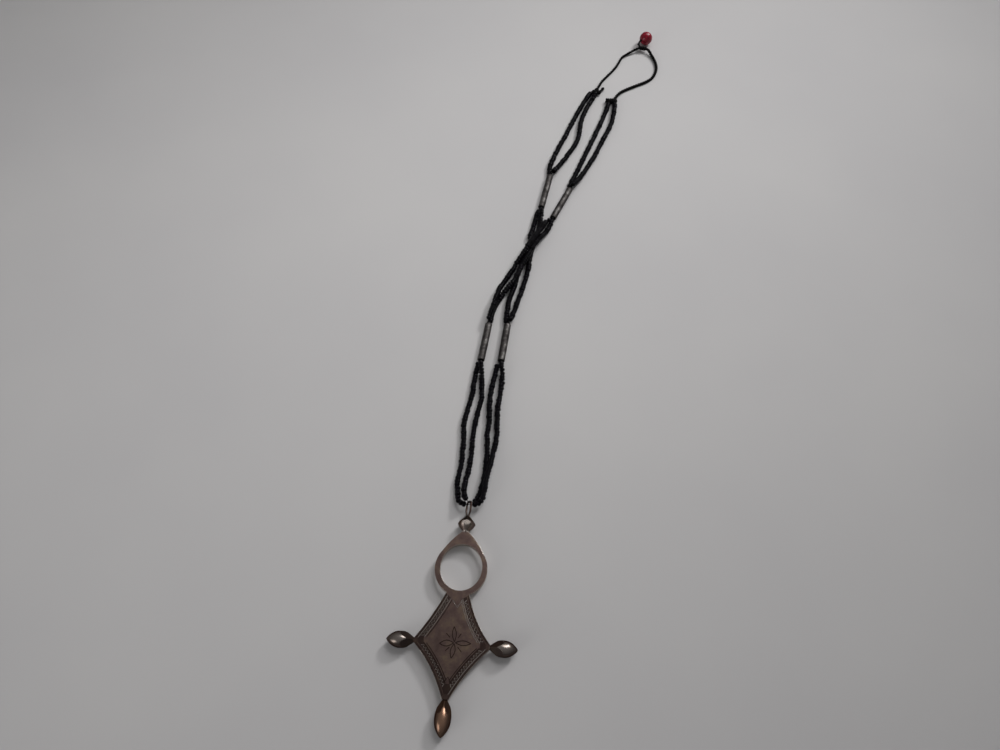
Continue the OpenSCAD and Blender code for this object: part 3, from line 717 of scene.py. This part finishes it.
# Rolled silver sheet of the tubes, hand bent: greyer and duller, with blotches of tarnish
# 3 mm across
sheet = finish("rolled_silver_tarnished")
place = add(sheet, "ShaderNodeTexCoord").outputs["Object"]
cloud = add(sheet, "ShaderNodeTexNoise", links={"Vector": place},
            Scale=340, Detail=5, Roughness=0.65)
tarnish = add(sheet, "ShaderNodeValToRGB",
              {"stops": [(0.32, "#2a2827"), (0.5, "#474443"), (0.7, "#6f6d6b")]},
              {"Fac": cloud.outputs["Fac"]})
gloss = add(sheet, "ShaderNodeMapRange", links={"Value": cloud.outputs["Fac"]},
            From_Min=0.3, From_Max=0.7, To_Min=0.66, To_Max=0.54)
bump = add(sheet, "ShaderNodeBump", links={"Height": cloud.outputs["Fac"]},
           Strength=0.35, Distance=0.0001)
shader = add(sheet, "ShaderNodeBsdfPrincipled",
             links={"Base Color": tarnish.outputs["Color"], "Roughness": gloss.outputs["Result"],
                    "Normal": bump.outputs["Normal"]}, Metallic=1.0)
add(sheet, "ShaderNodeOutputMaterial", links={"Surface": shader.outputs[0]})
dress(tubes, sheet)

# Black seed beads, drawn and tumbled glass: deep black with a small sharp glint on each
glass = finish("black_seed_bead_glass")
place = add(glass, "ShaderNodeTexCoord").outputs["Object"]
# From bead to bead, 2 mm apart, some are a little greyer
cloud = add(glass, "ShaderNodeTexNoise", links={"Vector": place}, Scale=480, Detail=1)
shade = add(glass, "ShaderNodeValToRGB",
            {"stops": [(0.35, "#040306"), (0.55, "#060409"), (0.75, "#0d0a11")]},
            {"Fac": cloud.outputs["Fac"]})
gloss = add(glass, "ShaderNodeMapRange", links={"Value": cloud.outputs["Fac"]},
            From_Min=0.3, From_Max=0.7, To_Min=0.14, To_Max=0.26)
shader = add(glass, "ShaderNodeBsdfPrincipled",
             links={"Base Color": shade.outputs["Color"], "Roughness": gloss.outputs["Result"]},
             IOR=1.5, Specular_IOR_Level=0.1)
add(glass, "ShaderNodeOutputMaterial", links={"Surface": shader.outputs[0]})
dress(strands, glass)

# Waxed cotton of the cords and knots, twisted: dull black, fibres 0.15 mm apart
cotton = finish("waxed_cotton_cord")
place = add(cotton, "ShaderNodeTexCoord").outputs["Object"]
fibres = add(cotton, "ShaderNodeTexNoise", links={"Vector": place}, Scale=4200, Detail=2)
shade = add(cotton, "ShaderNodeValToRGB", {"stops": [(0.3, "#040404"), (0.75, "#100e0f")]},
            {"Fac": fibres.outputs["Fac"]})
bump = add(cotton, "ShaderNodeBump", links={"Height": fibres.outputs["Fac"]},
           Strength=0.6, Distance=0.00008)
shader = add(cotton, "ShaderNodeBsdfPrincipled",
             links={"Base Color": shade.outputs["Color"], "Normal": bump.outputs["Normal"]},
             Roughness=0.62, IOR=1.5, Specular_IOR_Level=0.08)
add(cotton, "ShaderNodeOutputMaterial", links={"Surface": shader.outputs[0]})
dress([*cords.values(), *knots.values()], cotton)

# Red glass bead, wound at a lamp and fire polished: deep crimson, smooth enough for one soft
# pink glint of the window
ruby = finish("crimson_bead_glass")
place = add(ruby, "ShaderNodeTexCoord").outputs["Object"]
# Faint swirls about 2 mm wide, from the winding
swirl = add(ruby, "ShaderNodeTexNoise", links={"Vector": place},
            Scale=420, Detail=2, Distortion=1.2)
shade = add(ruby, "ShaderNodeValToRGB",
            {"stops": [(0.3, "#5e0918"), (0.55, "#820c22"), (0.8, "#a51a35")]},
            {"Fac": swirl.outputs["Fac"]})
shader = add(ruby, "ShaderNodeBsdfPrincipled", links={"Base Color": shade.outputs["Color"]},
             Roughness=0.2, IOR=1.5, Specular_IOR_Level=0.4)
add(ruby, "ShaderNodeOutputMaterial", links={"Surface": shader.outputs[0]})
dress([red_bead], ruby)

# Floor: painted board, matt and pale, with a faint cloudiness some 10 cm across
board = finish("pale_board")
place = add(board, "ShaderNodeTexCoord").outputs["Object"]
tooth = add(board, "ShaderNodeTexNoise", links={"Vector": place}, Scale=9, Detail=3)
shade = add(board, "ShaderNodeValToRGB", {"stops": [(0.3, "#bdbcbc"), (0.7, "#c2c1c0")]},
            {"Fac": tooth.outputs["Fac"]})
shader = add(board, "ShaderNodeBsdfPrincipled", links={"Base Color": shade.outputs["Color"]},
             Roughness=0.85)
add(board, "ShaderNodeOutputMaterial", links={"Surface": shader.outputs[0]})
put_down()
# A hair under the necklace, so that the two don't share a face
bpy.ops.mesh.primitive_plane_add(size=4, location=(0, 0, -0.05 * MM))
floor = label(bpy.context.object, "floor")
seat(floor)
dress([floor], board)


# Light: a large soft lamp and a small brighter one from the back right, and a weak wide one
# low from the front left

LIT_SPOT = Vector((-0.05, 0.05, 0))


def lamp(name, place, size, power, spread, tint):
    """A round soft lamp that looks at the lit spot and isn't seen itself."""
    data = bpy.data.lights.new(name, "AREA")
    data.shape, data.size = "DISK", size
    data.energy, data.color = power, tint
    data.spread = math.radians(spread)
    piece = bpy.data.objects.new(name, data)
    piece.location = place
    piece.visible_camera = False
    aim = LIT_SPOT - Vector(place)
    piece.rotation_euler = aim.to_track_quat("-Z", "Y").to_euler()
    bpy.context.scene.collection.objects.link(piece)


lamp("soft_fill", (0.2, 0.5, 0.8), 0.7, 0.49, 50, (1.0, 0.983, 0.988))
lamp("front_fill", (-0.7, -0.6, 0.32), 0.6, 0.26, 60, (1.0, 0.983, 0.97))
lamp("window", (0.548, 0.701, 0.647), 0.2, 0.4, 48, (1.0, 0.988, 0.993))
world = bpy.data.worlds.new("room")
world.use_nodes = True
sky = world.node_tree.nodes["Background"]
sky.inputs["Color"].default_value = colour("#989899")
sky.inputs["Strength"].default_value = 0.66
bpy.context.scene.world = world
bpy.context.scene.view_settings.view_transform = "Standard"

bpy.context.view_layer.update()
